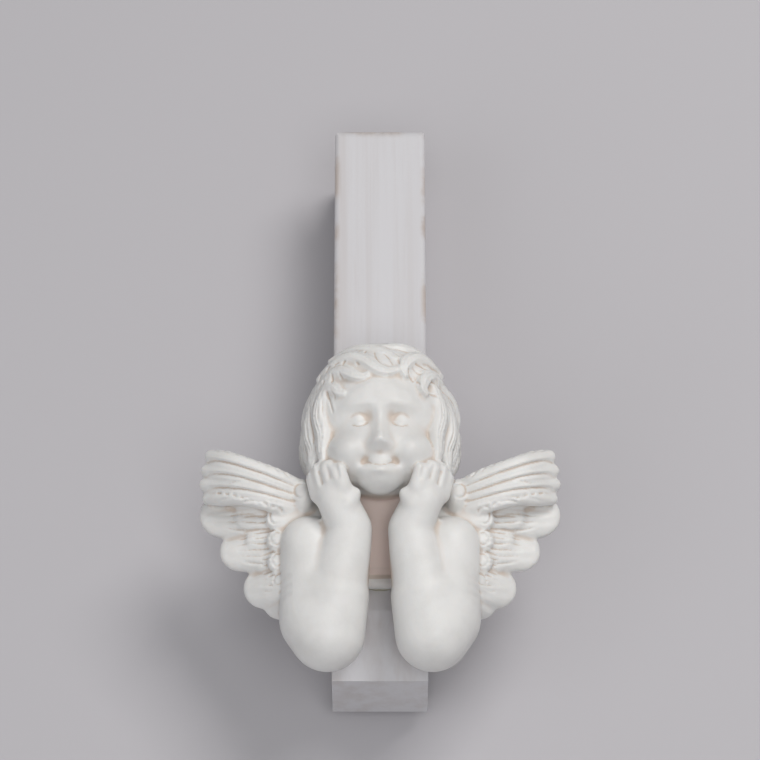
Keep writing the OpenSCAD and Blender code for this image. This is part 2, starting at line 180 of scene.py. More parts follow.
def step_up(material, value, low, high):
    """0 below low, 1 above high and smooth between."""
    ranger = node(material, "ShaderNodeMapRange", interpolation_type="SMOOTHSTEP")
    material.node_tree.links.new(value, ranger.inputs["Value"])
    ranger.inputs["From Min"].default_value = low
    ranger.inputs["From Max"].default_value = high
    return ranger.outputs["Result"]


def noise(material, vector, scale, detail=4.0, roughness=0.55, distortion=0.0):
    """A noise pattern on a vector socket."""
    pattern = node(material, "ShaderNodeTexNoise", scale=scale, detail=detail, roughness=roughness,
                   distortion=distortion)
    material.node_tree.links.new(vector, pattern.inputs["Vector"])
    return pattern.outputs["Fac"]


def stretched(material, vector, scale):
    """The vector drawn out or squeezed along its axes."""
    mapping = node(material, "ShaderNodeMapping")
    mapping.inputs["Scale"].default_value = scale
    material.node_tree.links.new(vector, mapping.inputs["Vector"])
    return mapping.outputs["Vector"]


def bump(material, shader, height, strength, distance):
    """Relief on the shader's normal."""
    relief = node(material, "ShaderNodeBump", strength=strength, distance=distance)
    material.node_tree.links.new(height, relief.inputs["Height"])
    join(material, relief, "Normal", shader, "Normal")


def painted_wood(name, outer_z, inner_side):
    """Brushed wood: outer_z is the painted face's height, and inner_side +1 if the bare face looks up."""
    material, shader = new_material(name)
    place = node(material, "ShaderNodeTexCoord")
    split = node(material, "ShaderNodeSeparateXYZ")
    join(material, place, "Object", split, "Vector")
    facing = node(material, "ShaderNodeSeparateXYZ")
    join(material, place, "Normal", facing, "Vector")
    x, y, z = (split.outputs[axis] for axis in "XYZ")
    # grain runs along the lever in long streaks with a few darker lines
    grain = noise(material, stretched(material, place.outputs["Object"], (1500, 55, 1500)), 1.0, 6, 0.6, 0.3)
    streak = noise(material, stretched(material, place.outputs["Object"], (420, 9, 420)), 1.0, 3, 0.5)
    patch = noise(material, place.outputs["Object"], 190, 4)
    fine = noise(material, place.outputs["Object"], 2600, 3)
    wood_colour = mix(material, step_up(material, grain, 0.40, 0.72), bare_wood, dark_grain)
    # the inner face is bare, with paint that crept round its edges
    depth = calculate(material, "MULTIPLY", facing.outputs["Z"], float(inner_side))
    ragged = calculate(material, "ADD", depth, calculate(material, "MULTIPLY", patch, 0.25))
    inner = step_up(material, ragged, 0.72, 0.95)
    # paint is rubbed off along the outer edges and at the handle end
    from_side = calculate(material, "SUBTRACT", half_width, calculate(material, "ABSOLUTE", x))
    from_outer = calculate(material, "ABSOLUTE", calculate(material, "SUBTRACT", z, outer_z))
    edge = calculate(material, "MAXIMUM", from_side, from_outer)
    rubbed = calculate(material, "SUBTRACT", 1.0, step_up(material, edge, 0.00015, 0.0009))
    rubbed = calculate(material, "MULTIPLY", rubbed, step_up(material, patch, 0.42, 0.62))
    from_end = calculate(material, "SUBTRACT", peg_high.y, y)
    end_rub = calculate(material, "SUBTRACT", 1.0, step_up(material, from_end, 0.0001, 0.0016))
    end_rub = calculate(material, "MULTIPLY", end_rub, step_up(material, patch, 0.40, 0.60))
    rubbed = calculate(material, "MAXIMUM", rubbed, end_rub)
    rubbed = calculate(material, "MULTIPLY", rubbed, 0.55)
    # the paint is thin in streaks and over the raised grain
    thin = calculate(material, "MULTIPLY", step_up(material, streak, 0.42, 0.70), 0.55)
    thin_grain = calculate(material, "MULTIPLY", step_up(material, grain, 0.5, 0.75), 0.25)
    thin = calculate(material, "ADD", thin, thin_grain)
    paint_colour = mix(material, thin, white_paint, thin_paint)
    paint_colour = mix(material, rubbed, paint_colour, wood_colour)
    colour = mix(material, inner, paint_colour, wood_colour)
    material.node_tree.links.new(colour, shader.inputs["Base Color"])
    rough = calculate(material, "ADD", 0.52, calculate(material, "MULTIPLY", grain, 0.22))
    material.node_tree.links.new(rough, shader.inputs["Roughness"])
    shader.inputs["Specular IOR Level"].default_value = 0.35
    height = calculate(material, "ADD", grain, calculate(material, "MULTIPLY", fine, 0.5))
    height = calculate(material, "ADD", height, calculate(material, "MULTIPLY", streak, 0.8))
    bump(material, shader, height, 0.5, 0.00006)
    return material


def give(node_name, material):
    """Finish a CAD node with this material alone."""
    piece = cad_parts[node_name]
    piece.data.materials.clear()
    piece.data.materials.append(material)
    return piece


for lever_name, outer_z, inner_side in (("lower_lever", 0.0, 1), ("upper_lever", lever_top, -1)):
    give(lever_name, painted_wood("painted_" + lever_name, outer_z, inner_side))


# ---- The two beads of glue ----
# Hot glue pressed flat between the upper lever and the casting. It is clear and slightly yellow, and a
# little of the back bead comes out past the hair.

pale_glue, yellow_glue = (0.82, 0.79, 0.66, 1), (0.74, 0.69, 0.52, 1)


def glue_material():
    """Glue that light partly goes through, cloudy in places."""
    material, shader = new_material("clear_yellowed_glue")
    place = node(material, "ShaderNodeTexCoord")
    cloud = noise(material, place.outputs["Object"], 600, 3)
    colour = mix(material, cloud, yellow_glue, pale_glue)
    material.node_tree.links.new(colour, shader.inputs["Base Color"])
    shader.inputs["Roughness"].default_value = 0.28
    shader.inputs["Transmission Weight"].default_value = 0.35
    shader.inputs["IOR"].default_value = 1.47
    bump(material, shader, cloud, 0.4, 0.0001)
    return material


glue = glue_material()
for bead_name in ("head_glue", "arm_glue"):
    give(bead_name, glue)


# ---- The spring ----
# A torsion spring of hard-drawn steel wire, wound on its own. The coil lies across the peg between the
# levers, and its two legs run to hooks that press the jaws together in the levers' outer grooves.

coil_y = peg_low.y + 0.030
coil_z = lever_top / 2
wire_radius = 0.0007
coil_radius = 0.0028
coil_turns = 6
leg_x = 0.00635
hook_y = peg_low.y + 0.022
hook_z = lever_top - 0.0009
hook_end_x = -0.0044
hook_bend = 0.0011
clean_steel, tarnished_steel = (0.56, 0.56, 0.57, 1), (0.33, 0.31, 0.29, 1)


def spring_route():
    """The wire's middle line from the upper hook's free end through the coil to the lower one's."""
    rise, reach = hook_z - coil_z, coil_y - hook_y
    leave = math.atan2(rise, -reach) - math.acos(coil_radius / math.hypot(rise, reach))
    sweep = 2 * leave + 2 * math.pi * coil_turns
    steps = 150
    coil = []
    for i in range(steps + 1):
        angle = leave - sweep * i / steps
        coil.append(Vector((leg_x - 2 * leg_x * i / steps, coil_y + coil_radius * math.cos(angle),
                            coil_z + coil_radius * math.sin(angle))))
    corner = Vector((leg_x, hook_y, hook_z))
    down = (coil[0] - corner).normalized()
    across = Vector((1, 0, 0))
    hook = [Vector((x, hook_y, hook_z)) for x in np.linspace(hook_end_x, leg_x - hook_bend, 8)[:-1]]
    for i in range(9):
        angle = math.pi / 2 * i / 8
        hook.append(corner + hook_bend * ((math.sin(angle) - 1) * across + (1 - math.cos(angle)) * down))
    hook += [hook[-1].lerp(coil[0], share) for share in (0.25, 0.5, 0.75)]
    other = [Vector((-p.x, p.y, 2 * coil_z - p.z)) for p in reversed(hook)]
    return hook + coil + other


def wire(name, route, radius):
    """A round wire along a route, with its ends narrowed and capped, as a mesh."""
    curve = bpy.data.curves.new(name, "CURVE")
    curve.dimensions = "3D"
    curve.bevel_depth = radius
    curve.bevel_resolution = 6
    curve.use_fill_caps = True
    spline = curve.splines.new("POLY")
    ends = [route[0].lerp(route[1], share) for share in (0.0, 0.04, 0.12)]
    tail = [route[-1].lerp(route[-2], share) for share in (0.12, 0.04, 0.0)]
    places = ends + route[1:-1] + tail
    widths = [0.45, 0.8, 1.0] + [1.0] * (len(route) - 2) + [1.0, 0.8, 0.45]
    spline.points.add(len(places) - 1)
    for point, place, width in zip(spline.points, places, widths):
        point.co = (*place, 1)
        point.radius = width
    made = bpy.data.objects.new(name, curve)
    bpy.context.collection.objects.link(made)
    bpy.ops.object.select_all(action="DESELECT")
    made.select_set(True)
    bpy.context.view_layer.objects.active = made
    bpy.ops.object.convert(target="MESH")
    bpy.ops.object.shade_smooth()
    return bpy.context.object


def steel_material():
    """Drawn wire with tarnished patches."""
    material, shader = new_material("spring_wire_steel")
    place = node(material, "ShaderNodeTexCoord")
    tarnish = noise(material, place.outputs["Object"], 900, 4)
    fine = noise(material, stretched(material, place.outputs["Object"], (9000, 900, 900)), 1.0, 2)
    colour = mix(material, step_up(material, tarnish, 0.45, 0.75), clean_steel, tarnished_steel)
    material.node_tree.links.new(colour, shader.inputs["Base Color"])
    shader.inputs["Metallic"].default_value = 1.0
    rough = calculate(material, "ADD", 0.26, calculate(material, "MULTIPLY", tarnish, 0.3))
    material.node_tree.links.new(rough, shader.inputs["Roughness"])
    bump(material, shader, fine, 0.25, 0.00002)
    return material


spring = wire("spring_wire", spring_route(), wire_radius)
spring.data.materials.append(steel_material())
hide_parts("spring")
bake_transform(spring)


# ---- The cherub casting ----
# One casting of off-white resin with a flat back: head, curls, arms, chest and wings come out of one mould.
# Its forms are merged in one skin, and the face, the hair's strands and the feathers' barbs are pressed in.

casting_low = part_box("cherub_casting")[0]
elbow_overhang = 1.5 * MM
start_y = casting_low.y + elbow_overhang
back_z = casting_low.z
most_triangles = 190000


def spot(place):
    """A place given in millimetres across the casting, up from the jaw tip and out from the flat back."""
    return Vector((place[0] * MM, start_y + place[1] * MM, back_z + place[2] * MM))


def gather(pieces):
    """One object out of several."""
    bpy.ops.object.select_all(action="DESELECT")
    for piece in pieces:
        piece.select_set(True)
    bpy.context.view_layer.objects.active = pieces[0]
    bpy.ops.object.join()
    return bpy.context.object


def ball(place, radius, shape=(1, 1, 1)):
    """A ball, drawn out or pressed along its axes by its shape."""
    bpy.ops.mesh.primitive_uv_sphere_add(segments=28, ring_count=14, radius=radius * MM, location=spot(place))
    made = bpy.context.object
    made.scale = shape
    bpy.ops.object.transform_apply(location=True, rotation=True, scale=True)
    return made


def limb(*ends, flat=1.0):
    """Balls, each a place and a radius, in one convex skin."""
    made = gather([ball(place, radius, (1, 1, flat)) for place, radius in ends])
    bpy.ops.object.mode_set(mode="EDIT")
    bpy.ops.mesh.select_all(action="SELECT")
    bpy.ops.mesh.convex_hull()
    bpy.ops.object.mode_set(mode="OBJECT")
    return made


def strand(places, radii, corners):
    """A round lock or feather along places, as thick as its radii."""
    curve = bpy.data.curves.new("strand", "CURVE")
    curve.dimensions = "3D"
    curve.bevel_depth = MM
    curve.bevel_resolution = corners
    curve.resolution_u = 5
    curve.use_fill_caps = True
    spline = curve.splines.new("NURBS")
    spline.points.add(len(places) - 1)
    for point, place, radius in zip(spline.points, places, radii):
        point.co = (*spot(place), 1)
        point.radius = radius
    spline.order_u = 4
    spline.use_endpoint_u = True
    made = bpy.data.objects.new("strand", curve)
    bpy.context.collection.objects.link(made)
    bpy.ops.object.select_all(action="DESELECT")
    made.select_set(True)
    bpy.context.view_layer.objects.active = made
    bpy.ops.object.convert(target="MESH")
    return bpy.context.object


def other_side(piece):
    """A mirrored copy across the doll's middle."""
    copy = piece.copy()
    copy.data = piece.data.copy()
    bpy.context.collection.objects.link(copy)
    copy.data.transform(Matrix.Scale(-1, 4, (1, 0, 0)))
    copy.data.flip_normals()
    return copy


def change(piece, kind, **settings):
    """Apply a modifier."""
    bpy.ops.object.select_all(action="DESELECT")
    piece.select_set(True)
    bpy.context.view_layer.objects.active = piece
    modifier = piece.modifiers.new("change", kind)
    for key, value in settings.items():
        setattr(modifier, key, value)
    bpy.ops.object.modifier_apply(modifier=modifier.name)


def read(mesh, what):
    """The mesh's places or its normals, as rows."""
    rows = np.empty(len(mesh.vertices) * 3)
    if what == "places":
        mesh.vertices.foreach_get("co", rows)
    else:
        mesh.vertex_normals.foreach_get("vector", rows)
    return rows.reshape(-1, 3)


def flatten_back(piece):
    """Nothing comes below the flat back."""
    places = read(piece.data, "places")
    places[:, 2] = np.maximum(places[:, 2], back_z)
    piece.data.vertices.foreach_set("co", places.ravel())
    piece.data.update()


def melt(piece, voxel, rounds):
    """Merge all of a piece's forms in one skin of voxels this size in millimetres, and smooth it."""
    flatten_back(piece)
    change(piece, "REMESH", mode="VOXEL", voxel_size=voxel * MM)
    if rounds:
        change(piece, "SMOOTH", factor=0.5, iterations=rounds)
    return piece


def smooth_line(points, step):
    """Places close together on a smooth line through the points."""
    points = np.array(points, float)
    ends = np.vstack([2 * points[0] - points[1], points, 2 * points[-1] - points[-2]])
    line = []
    for a, b, c, d in zip(ends, ends[1:], ends[2:], ends[3:]):
        count = max(2, int(np.linalg.norm(c - b) / step))
        for t in np.arange(count) / count:
            line.append(0.5 * (2 * b + (c - a) * t + (2 * a - 5 * b + 4 * c - d) * t ** 2
                               + (3 * b - a - 3 * c + d) * t ** 3))
    line.append(points[-1])
    return np.array(line)


def bell(x, y, wide, tall):
    """A smooth mound, 1 in its middle."""
    return np.exp(-(x / wide) ** 2 / 2 - (y / tall) ** 2 / 2)


def rise(value, low, high):
    """0 below low, 1 above high and smooth between, on numbers."""
    share = np.clip((value - low) / (high - low), 0, 1)
    return share * share * (3 - 2 * share)


# the body: two arms that run together at the elbow, hands on the cheeks, and the chest behind them
elbow, elbow_radius = (5.95, 2.75, 3.6), 4.3
outer_elbow, outer_radius = (7.05, 4.7, 3.3), 4.4
wrist, wrist_radius = (3.35, 13.9, 7.7), 2.5
shoulder, shoulder_radius = (8.0, 13.1, 4.8), 3.45
palm, palm_radius = (4.9, 16.9, 9.1), 2.3
fingers = [
    # root, end and radius, side by side up the cheek
    ((4.2, 17.7, 10.9), (4.6, 19.4, 11.6), 0.95),
    ((5.2, 18.0, 10.4), (5.8, 20.1, 11.0), 0.98),
    ((6.2, 18.0, 9.6), (6.9, 20.2, 10.1), 0.98),
    ((7.0, 17.7, 8.5), (7.7, 19.7, 9.0), 0.92),
]
chest_middle, chest_size = (0, 19.1, 1.3), (16, 4.2, 2.6)
web_side, web_bottom, web_top, web_radius = 6.2, 10.6, 18.5, 0.8


def between(first, second, share):
    """A place a share of the way from the first to the second."""
    return tuple(a + (b - a) * share for a, b in zip(first, second))


def build_arm():
    """Forearm, upper arm, palm, four fingers and the thumb under the jaw, in one skin."""
    forms = [
        limb((elbow, elbow_radius), (wrist, wrist_radius)),
        limb((outer_elbow, outer_radius), (shoulder, shoulder_radius)),
        limb((elbow, elbow_radius), (outer_elbow, outer_radius),
             (between(elbow, wrist, 0.36), 3.85), (between(outer_elbow, shoulder, 0.36), 4.0)),
        limb((wrist, wrist_radius), (palm, palm_radius)),
        limb((palm, palm_radius), ((5.9, 18.3, 8.6), 1.9)),
        limb(((8.3, 13.0, 4.0), 3.2), ((5.5, 18.2, 2.0), 2.5)),
    ]
    for root, end, radius in fingers:
        forms.append(limb((root, radius * 1.1), (end, radius * 0.9)))
    forms.append(limb(((3.8, 16.0, 10.0), 1.3), ((2.9, 17.1, 10.2), 0.85)))
    return melt(gather(forms), voxel=0.28, rounds=7)


def build_chest():
    """The chest behind the hands, and a thin web between the arms that rises to the throat."""
    bpy.ops.mesh.primitive_cube_add(size=1, location=spot(chest_middle))
    chest = bpy.context.object
    chest.scale = [length * MM for length in chest_size]
    bpy.ops.object.transform_apply(location=True, rotation=True, scale=True)
    corners = [(x, y, 0) for y in (web_bottom, web_top) for x in (-web_side, web_side)]
    web = limb(*((corner, web_radius) for corner in corners))
    throat = limb(((-2.2, 12.8, 0.0), 1.5), ((2.2, 12.8, 0.0), 1.5),
                  ((-2.4, 20.0, 3.2), 2.6), ((2.4, 20.0, 3.2), 2.6))
    return [chest, web, throat]


def build_skull():
    """The head under the hair, with full cheeks and a small chin."""
    forms = [
        ball((0, 28.2, 5.3), 1, (8.3, 8.6, 8.4)),
        ball((0, 24.0, 7.0), 1, (6.5, 5.7, 6.3)),
        ball((0, 20.3, 9.9), 1, (3.1, 3.0, 2.6)),
    ]
    for side in (-1, 1):
        forms.append(ball((side * 3.2, 22.0, 9.0), 1, (3.3, 3.1, 3.7)))
    return melt(gather(forms), voxel=0.3, rounds=9)


# the hair: locks combed one way out of the crown over the dome, a waved fringe, and curls on both sides
crown = np.array([0, 0.8, 0.6])
towards_brow = np.array([0, -0.6, 0.8])
across_head = np.array([1.0, 0, 0])
head_middle = np.array([0, 27.1, 5.4])
skull_radii = np.array([8.8, 9.75, 8.4])
dome_rings = [
    # how many locks, the fall from the crown where they start and end in degrees, and their radius
    (9, 3, 44, 1.0), (14, 26, 72, 1.15), (17, 52, 100, 1.2), (18, 84, 124, 1.2),
]
fringe = [
    # swept over the high brow from both temples, in soft waves with turned ends: places and radius
    ([(-7.0, 32.2, 8.4), (-5.2, 33.4, 10.5), (-3.2, 33.5, 12.0), (-1.4, 32.4, 12.9), (-0.2, 31.2, 13.3),
      (1.1, 30.9, 13.4), (1.9, 31.4, 13.2)], 0.9),
    ([(-7.1, 30.8, 8.9), (-5.7, 31.9, 10.6), (-4.2, 31.8, 11.9), (-3.1, 30.8, 12.8), (-2.1, 30.3, 13.2),
      (-1.3, 30.7, 13.3)], 0.8),
    ([(-7.1, 29.0, 9.3), (-6.2, 30.0, 10.6), (-5.2, 29.7, 11.7), (-4.6, 28.8, 12.3),
      (-3.9, 28.6, 12.7)], 0.75),
    ([(7.0, 32.6, 8.3), (5.4, 33.7, 10.2), (3.9, 33.5, 11.7), (2.9, 32.4, 12.6), (2.6, 31.2, 13.1),
      (3.1, 30.4, 13.1)], 0.9),
    ([(7.2, 30.9, 9.0), (6.3, 31.6, 10.4), (5.4, 31.2, 11.6), (4.9, 30.1, 12.2), (5.0, 29.1, 12.4),
      (5.5, 28.6, 12.1)], 0.8),
    ([(-5.8, 34.6, 8.4), (-3.2, 35.2, 10.3), (-0.6, 34.7, 11.6), (0.9, 33.6, 12.4), (2.0, 32.9, 12.7)], 0.85),
    ([(5.8, 34.6, 8.4), (3.6, 35.3, 10.0), (1.4, 35.3, 11.0), (-0.8, 35.6, 10.9)], 0.85),
]
side_curls = [
    # on the right, from the brow to the back, outside the hand: places and radius
    ([(5.4, 31.3, 10.6), (6.5, 28.9, 10.3), (6.8, 26.5, 10.1), (6.4, 24.4, 10.4), (6.6, 22.3, 10.4),
      (6.2, 19.8, 10.4)], 1.1),
    ([(6.6, 30.5, 9.1), (7.7, 27.7, 8.7), (7.8, 25.1, 8.5), (7.3, 23.1, 8.8), (7.6, 21.2, 8.7),
      (7.3, 19.3, 8.8)], 1.15),
    ([(7.5, 29.3, 7.2), (8.2, 26.7, 6.8), (8.0, 24.1, 6.5), (7.4, 22.2, 6.8), (7.6, 20.6, 6.5),
      (7.4, 19.3, 6.4)], 1.15),
    ([(8.0, 28.3, 5.0), (8.5, 25.7, 4.6), (8.1, 23.3, 4.3), (7.4, 21.7, 4.5), (7.6, 20.3, 4.1)], 1.05),
]


def on_hair(turn, fall, lift):
    """A place on the hair: turn round the crown from the brow, fall from the crown, lift over the skull."""
    turn, fall = math.radians(turn), math.radians(fall)
    outward = math.cos(turn) * towards_brow + math.sin(turn) * across_head
    way = math.cos(fall) * crown + math.sin(fall) * outward
    return head_middle + (skull_radii + lift) * way


def in_face(place):
    """Whether a place on the dome would lie over the face."""
    return place[2] > 6.5 and ((place[0] / 6.2) ** 2 + ((place[1] - 23.4) / 7.9) ** 2) < 1


def comb(turn, fall):
    """The turn that a strand has swung to when it has fallen so far from the crown, all in degrees."""
    return turn + 0.6 * fall + 7 * math.sin(math.radians(3 * turn) + fall / 11)


def combed(turn, first, last, lift):
    """A strand's places on the dome, as far as the face or the flat back."""
    line = []
    for fall in np.linspace(first, last, 3 + int(last - first) // 8):
        place = on_hair(comb(turn, fall), fall, lift)
        if place[2] < 0.6 or in_face(place):
            break
        line.append(place)
    return np.array(line)


def dome_locks():
    """The locks that lie on the dome in four rings, each its middle line and radius."""
    lines = []
    for ring, (count, first, last, radius) in enumerate(dome_rings):
        for k in range(count):
            wave = math.sin(2.3 * k + 1.7 * ring)
            line = combed(360 * (k + 0.5 * (ring % 2)) / count, first, last, -0.7 + 0.15 * wave)
            if len(line) >= 4:
                lines.append((line, radius * (1 + 0.12 * wave)))
    return lines


def curls():
    """The fringe and the side curls, each its middle line and radius."""
    lines = [(smooth_line(places, 1.2), radius) for places, radius in fringe]
    for side in (-1, 1):
        for places, radius in side_curls:
            lines.append((smooth_line([(side * x, y, z) for x, y, z in places], 1.2), radius))
    return lines


def build_hair(lines):
    """The cap under the hair with every lock on it, thin at both ends."""
    forms = [ball((0, 28.3, 5.4), 1, (8.9, 8.6, 8.0)), ball((0, 31.4, 7.0), 1, (7.5, 5.1, 6.4))]
    for line, radius in lines:
        radii = [radius * (0.42 + 0.58 * math.sin(math.pi * min(1, 0.12 + 0.98 * t)) ** 0.8)
                 for t in np.linspace(0, 1, len(line))]
        forms.append(strand(line, radii, 3))
    return melt(gather(forms), voxel=0.2, rounds=1)


# the wings: long feathers square to the arm, shorter ones and round scales on their roots, and a leading
# edge of four slender ones that spread from an oval knob
knob = (8.8, 18.9, 5.6)
leading_edge = [(8.9, 19.7, 5.4), (12.0, 20.5, 7.4), (15.9, 22.0, 7.8), (20.2, 24.2, 5.4)]
long_feathers = [
    # how far out, how far up the doll, height at the end, radius
    (18.0, 18.0, 2.5, 2.8), (15.8, 13.7, 2.1, 2.6), (13.0, 9.2, 1.8, 2.6), (11.3, 7.4, 1.5, 2.0),
]
short_feathers = [
    (15.2, 17.0, 4.1, 1.45), (13.9, 14.4, 3.7, 1.45), (12.9, 11.8, 3.3, 1.4), (12.2, 9.2, 3.0, 1.3),
]
scales = [(11.8, 16.2, 5.3, 1.3), (11.7, 13.7, 5.0, 1.3), (11.6, 11.2, 4.6, 1.25), (11.4, 8.9, 4.0, 1.1)]


def fan(share):
    """How far apart the slender feathers lie, from their root (0) to their ends (1)."""
    return 0.75 + 0.85 * share


def build_wing():
    """The right wing, in one skin down to the flat back."""
    forms = []
    for rank, root_z, flat in ((long_feathers, 4.5, 0.38), (short_feathers, 5.1, 0.42)):
        for x, y, z, radius in rank:
            root = (9.3, y - 0.12 * (x - 9.3), root_z)
            forms.append(limb((root, radius), ((x, y, z), radius), flat=flat))
            forms.append(limb(((root[0], root[1], 0.5), radius * 0.7), ((x, y, 0.5), radius * 0.7)))
    for x, y, z, radius in scales:
        forms.append(limb(((9.5, y, z), radius), ((x, y, z), radius), flat=0.6))
    line = smooth_line(leading_edge, 1.6)
    share = np.linspace(0, 1, len(line))
    for i, further in enumerate((-0.45, 0.1, 0.25, -0.1)):
        route = line - np.outer(i * fan(share), (0, 1, 0.3)) + np.outer(share ** 4, (further, 0, 0))
        radii = (1.12 - 0.05 * i + 0.09 * np.sin(9 * share + 2.1 * i)) * (1 - 0.35 * rise(share, 0.8, 1.0))
        forms.append(strand(route, radii, 4))
    # under the slender feathers the edge is solid down to the back
    plate = [(min(x, 19.3), y, z) for x, y, z in leading_edge]
    forms.append(limb(*(((x, y - 1.4, 1.0), 1.3) for x, y, z in plate)))
    for drop, sink in ((1.2, 2.4), (3.0, 3.1)):
        for first, second in zip(plate, plate[1:]):
            forms.append(limb(*(((x, y - drop, z - sink), 1.2) for x, y, z in (first, second))))
    forms.append(ball(knob, 1, (1.35, 2.1, 2.0)))
    return melt(gather(forms), voxel=0.2, rounds=2)


arm = build_arm()
wing = build_wing()
curl_lines = curls()
hair = build_hair(dome_locks() + curl_lines)
casting = gather([arm, other_side(arm), wing, other_side(wing), build_skull(), hair] + build_chest())
casting.name = "cherub"
melt(casting, voxel=0.17, rounds=2)


# what is pressed in the skin: (across, up from the jaw tip, half width, half height, how far out)
face_presses = [
    (0, 20.0, 2.0, 1.4, 0.3),       # mouth and chin stand out
    (0, 18.5, 1.3, 0.8, 0.45),
    (0, 22.3, 0.72, 0.62, 1.35),    # tip and bridge of the nose
    (0, 23.6, 0.52, 1.4, 0.7),
    (0, 21.2, 0.3, 0.25, -0.12),    # dent over the lips
    (0, 20.2, 1.2, 0.36, 0.05),     # upper and lower lip
    (0, 19.0, 0.8, 0.3, 0.32),
    (0, 18.5, 0.8, 0.22, -0.12),    # dent under them
    (0, 28.2, 3.2, 1.6, 0.3),       # forehead
]
paired_presses = [
    (1.72, 20.3, 0.40, 0.38, -0.72),    # corners of the mouth
    (1.9, 19.4, 0.6, 0.4, 0.2),
    (3.5, 21.8, 1.3, 1.3, 0.75),        # cheeks
    (0.8, 22.0, 0.38, 0.34, 0.45),      # nostrils
    (1.4, 25.3, 0.55, 0.8, -0.45),      # eye sockets, with the closed eyes in them
    (2.3, 25.3, 1.25, 0.9, -0.9),
    (2.35, 25.05, 0.95, 0.62, 0.66),
    (2.5, 27.0, 1.2, 0.45, 0.3),        # brows
]


def press_face(piece):
    """Move the front of the head out and in by these presses, less and less towards the face's edge."""
    mesh = piece.data
    places = read(mesh, "places")
    normals = read(mesh, "normals")
    x = places[:, 0] / MM
    y = (places[:, 1] - start_y) / MM
    z = (places[:, 2] - back_z) / MM
    out = np.zeros(len(places))
    for px, py, wide, tall, height in face_presses:
        out += height * bell(x - px, y - py, wide, tall)
    for px, py, wide, tall, height in paired_presses:
        out += height * bell(np.abs(x) - px, y - py, wide, tall)
    within = rise(normals[:, 2], 0.05, 0.45) * rise(z, 9.5, 11.5)
    within *= 1 - rise((x / 5.6) ** 2 + ((y - 23.2) / 6.8) ** 2, 0.85, 1.15)
    way = np.array([0, -0.22, 0.975])
    places += (out * within * MM)[:, None] * way
    mesh.vertices.foreach_set("co", places.ravel())
    mesh.update()


def surface(piece):
    """What finds the nearest place on a piece's skin."""
    mesh = piece.data
    places = read(mesh, "places")
    polygons = [tuple(polygon.vertices) for polygon in mesh.polygons]
    return BVHTree.FromPolygons([Vector(place) for place in places], polygons)


def lay_down(tree, line):
    """The line laid on the skin: seen from above where it has no height, or else at the nearest place."""
    laid = []
    for place in line:
        if len(place) == 2:
            hit = tree.ray_cast(spot((place[0], place[1], 30)), Vector((0, 0, -1)))[0]
        else:
            hit = tree.find_nearest(spot(place))[0]
        if hit is not None:
            laid.append(tuple(hit))
    return np.array(laid)


def cut(piece, grooves):
    """Cut grooves, each a line of points, a half width and a depth in millimetres, with soft raised rims.

    A line of (across, up) is cut as seen from above. One of (across, up, out) is laid on the nearest skin."""
    mesh = piece.data
    places = read(mesh, "places")
    normals = read(mesh, "normals")
    tree = surface(piece)
    depth_at = np.zeros(len(places))
    rim_at = np.zeros(len(places))
    for points, width, depth in grooves:
        line = lay_down(tree, smooth_line(points, 0.15))
        if len(line) < 2:
            continue
        reach = 3.2 * width * MM
        flat = len(points[0]) == 2
        axes = slice(0, 2 if flat else 3)
        inside = (places > line.min(0) - reach - flat * MM) & (places < line.max(0) + reach + flat * MM)
        near = np.where(inside.all(1) & (~flat | (normals[:, 2] > 0.1)))[0]
        if not len(near):
            continue
        gaps = np.linalg.norm(places[near][:, None, axes] - line[None, :, axes], axis=2)
        nearest = gaps.argmin(1)
        gap = gaps[np.arange(len(near)), nearest] / (width * MM)
        share = nearest / (len(line) - 1)
        taper = np.clip(np.minimum(share, 1 - share) * 5, 0, 1) ** 0.5
        taper *= rise(normals[near, 2], 0.1, 0.5) if flat else 1
        depth_at[near] = np.maximum(depth_at[near], depth * taper * np.exp(-gap ** 2))
        rim_at[near] = np.maximum(rim_at[near], 0.3 * depth * taper * np.exp(-(gap - 1.9) ** 2 * 2.2))
    places += ((rim_at - depth_at) * MM)[:, None] * normals
    mesh.vertices.foreach_set("co", places.ravel())
    mesh.update()


def hair_grooves(lines):
    """Grooves between the strands, combed over the dome, and four more on each curl."""
    grooves = []
    starts = (12, 52, 28, 70)
    for k in range(60):
        groove_line = combed(6 * k, starts[k % 4], 122, 0.3)
        if len(groove_line) >= 3:
            grooves.append((groove_line, 0.13, 0.17))
    for line, radius in lines:
        fine = smooth_line(line, 0.5)
        ways = np.gradient(fine, axis=0)
        outward = (fine - head_middle) / skull_radii ** 2
        sideways = np.cross(ways, outward)
        sideways /= np.linalg.norm(sideways, axis=1)[:, None]
        outward /= np.linalg.norm(outward, axis=1)[:, None]
        swell = np.sin(np.pi * np.linspace(0.1, 0.95, len(fine)))[:, None]
        for offset in (-0.62, -0.22, 0.2, 0.6):
            grooves.append((fine + sideways * swell * offset * radius + outward * radius, 0.13, 0.22))
    return grooves


def face_grooves():
    """The lines of the closed lids and the mouth, and those between the fingers."""
    grooves = []
    for side in (-1, 1):
        # where the lids meet, and the crease over them
        for points, width, depth in (
            (((1.35, 24.95), (1.9, 24.6), (2.6, 24.5), (3.3, 24.8)), 0.14, 0.2),
            (((1.35, 25.6), (2.0, 26.0), (2.8, 26.0), (3.4, 25.6)), 0.2, 0.07),
        ):
            grooves.append(([(side * x, y) for x, y in points], width, depth))
        # between the fingers
        for points in (((4.6, 18.1), (5.1, 19.9)), ((5.6, 18.2), (6.2, 20.2)), ((6.5, 17.9), (7.1, 19.9))):
            grooves.append(([(side * x, y) for x, y in points], 0.22, 0.16))
    mouth = [(-1.7, 20.35), (-0.9, 19.75), (0, 19.5), (0.9, 19.75), (1.7, 20.35)]
    grooves.append((mouth, 0.15, 0.18))
    return grooves


